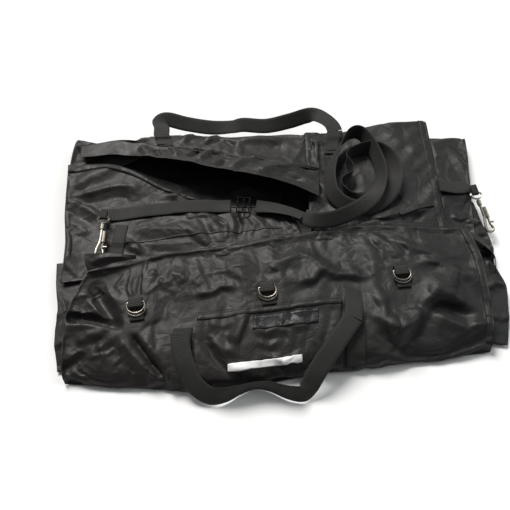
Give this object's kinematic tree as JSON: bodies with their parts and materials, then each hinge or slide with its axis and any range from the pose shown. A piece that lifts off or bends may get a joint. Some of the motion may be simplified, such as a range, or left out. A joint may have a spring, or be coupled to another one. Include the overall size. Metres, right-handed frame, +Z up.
{
  "type": "equipment holdall",
  "caption": "Long soft holdall of coated nylon, empty and folded flat, with webbing handles, ring tabs, an outside pocket and a shoulder strap with snap hooks.",
  "frame": {"origin": "middle of the footprint, on the surface the bag lies on", "axes": "+X along the length of the bag, +Y from the pocket side to the far side, +Z up"},
  "size_m": [1.0354, 0.7989, 0.1016],
  "materials": {
    "coated_nylon": "coated, satin sheen",
    "dark_lining": "matt coated back",
    "webbing": "ribbed woven polypropylene",
    "glossy_trim": "glossy coated strip",
    "white_print": "screen-printed ink",
    "nickel": "bright nickel plate",
    "black_metal": "glossy black"
  },
  "bodies": {
    "bag": {"base_panel": "coated_nylon", "far_handle_leg_left": "webbing", "far_handle_leg_right": "webbing", "far_side_panel": "coated_nylon", "left_corner_flap": "coated_nylon", "left_end_fold": "coated_nylon", "left_strap_end": "webbing", "left_strap_loop": "webbing", "lid_seam_binding": "coated_nylon", "mouth_lining": "dark_lining", "mouth_near_hem": "coated_nylon", "near_end_binding": "coated_nylon", "near_handle_leg_left": "webbing", "near_handle_leg_right": "webbing", "near_side_panel": "coated_nylon", "pocket_hem": "coated_nylon", "pocket_mark": "white_print", "pocket_panel": "coated_nylon", "pocket_welt": "glossy_trim", "right_end_fold": "coated_nylon", "right_end_loop": "webbing", "right_end_panel": "coated_nylon", "right_strap_loop": "webbing", "ring_tab_left": "webbing", "ring_tab_middle": "webbing", "ring_tab_right": "webbing", "strap_adjuster": "black_metal", "strap_coil": "webbing", "strap_left_run": "webbing", "strap_middle_run": "webbing", "strap_right_run": "webbing", "top_far_panel": "coated_nylon", "top_near_panel": "coated_nylon"},
    "near_handle": {"near_handle": "webbing"},
    "far_handle": {"far_handle": "webbing"},
    "mouth_lip": {"mouth_lip": "coated_nylon", "mouth_lip_hem": "coated_nylon"},
    "d_ring_left_upper": {"d_ring_left_upper": "nickel"},
    "d_ring_left_lower": {"d_ring_left_lower": "nickel"},
    "d_ring_middle_upper": {"d_ring_middle_upper": "nickel"},
    "d_ring_middle_lower": {"d_ring_middle_lower": "nickel"},
    "d_ring_right_upper": {"d_ring_right_upper": "nickel"},
    "d_ring_right_lower": {"d_ring_right_lower": "nickel"},
    "left_hook_eye": {"left_hook_eye": "nickel"},
    "left_hook_body": {"left_hook_body": "nickel", "left_hook_spring": "nickel"},
    "left_hook_bolt": {"left_hook_bolt": "nickel"},
    "right_hook_eye": {"right_hook_eye": "nickel"},
    "right_hook_body": {"right_hook_body": "nickel", "right_hook_spring": "nickel"},
    "right_hook_bolt": {"right_hook_bolt": "nickel"}
  },
  "joints": [
    {"name": "near_handle_lift", "type": "hinge", "parent": "bag", "child": "near_handle", "pos_m": [0.1533, -0.2356, 0.068], "axis": [-0.9958, -0.0895, -0.0168], "range_deg": [0, 120]},
    {"name": "far_handle_lift", "type": "hinge", "parent": "bag", "child": "far_handle", "pos_m": [-0.2877, 0.2924, 0.071], "axis": [0.999, 0.0448, -0.0022], "range_deg": [0, 80]},
    {"name": "mouth_lip_open", "type": "hinge", "parent": "bag", "child": "mouth_lip", "pos_m": [-0.3837, 0.2684, 0.064], "axis": [-0.9796, 0.2001, -0.0184], "range_deg": [0, 55]},
    {"name": "d_ring_left_upper_swing", "type": "hinge", "parent": "bag", "child": "d_ring_left_upper", "pos_m": [-0.30063, -0.19829, 0.06689], "axis": [-0.9914, -0.127, -0.0329], "range_deg": [0, 110]},
    {"name": "d_ring_left_lower_swing", "type": "hinge", "parent": "bag", "child": "d_ring_left_lower", "pos_m": [-0.29988, -0.20295, 0.06224], "axis": [-0.9914, -0.127, -0.0329], "range_deg": [0, 110]},
    {"name": "d_ring_middle_upper_swing", "type": "hinge", "parent": "bag", "child": "d_ring_middle_upper", "pos_m": [-0.02444, -0.16126, 0.06877], "axis": [-0.9901, -0.1401, 0], "range_deg": [0, 110]},
    {"name": "d_ring_middle_lower_swing", "type": "hinge", "parent": "bag", "child": "d_ring_middle_lower", "pos_m": [-0.02377, -0.16597, 0.06417], "axis": [-0.9901, -0.1401, 0], "range_deg": [0, 110]},
    {"name": "d_ring_right_upper_swing", "type": "hinge", "parent": "bag", "child": "d_ring_right_upper", "pos_m": [0.26767, -0.11809, 0.06886], "axis": [-0.9907, -0.1341, 0.0219], "range_deg": [0, 110]},
    {"name": "d_ring_right_lower_swing", "type": "hinge", "parent": "bag", "child": "d_ring_right_lower", "pos_m": [0.26822, -0.12287, 0.0643], "axis": [-0.9907, -0.1341, 0.0219], "range_deg": [0, 110]},
    {"name": "left_hook_lift", "type": "hinge", "parent": "bag", "child": "left_hook_eye", "pos_m": [-0.4017, 0.0344, 0.058], "axis": [-1, 0, 0], "range_deg": [0, 80]},
    {"name": "left_hook_swivel", "type": "hinge", "parent": "left_hook_eye", "child": "left_hook_body", "pos_m": [-0.4017, 0.01644, 0.05674], "axis": [0, -0.9976, -0.0698], "range_deg": [0, 100]},
    {"name": "left_hook_bolt_slide", "type": "slide", "parent": "left_hook_body", "child": "left_hook_bolt", "axis": [0, 0.9976, 0.0698], "range_m": [0, 0.008], "stiffness_N_per_m": 300, "springref_m": -0.004, "deforming": ["left_hook_spring"]},
    {"name": "right_hook_lift", "type": "hinge", "parent": "bag", "child": "right_hook_eye", "pos_m": [0.4843, 0.1204, 0.044], "axis": [-0.9781, -0.2079, 0], "range_deg": [0, 80]},
    {"name": "right_hook_swivel", "type": "hinge", "parent": "right_hook_eye", "child": "right_hook_body", "pos_m": [0.48796, 0.10318, 0.04026], "axis": [0.2034, -0.9568, -0.2079], "range_deg": [0, 100]},
    {"name": "right_hook_bolt_slide", "type": "slide", "parent": "right_hook_body", "child": "right_hook_bolt", "axis": [-0.2034, 0.9568, 0.2079], "range_m": [0, 0.008], "stiffness_N_per_m": 300, "springref_m": -0.004, "deforming": ["right_hook_spring"]}
  ],
  "couplings": [
    {"joint": "d_ring_left_lower_swing", "follows": "d_ring_left_upper_swing", "ratio": 1},
    {"joint": "d_ring_middle_lower_swing", "follows": "d_ring_middle_upper_swing", "ratio": 1},
    {"joint": "d_ring_right_lower_swing", "follows": "d_ring_right_upper_swing", "ratio": 1}
  ]
}
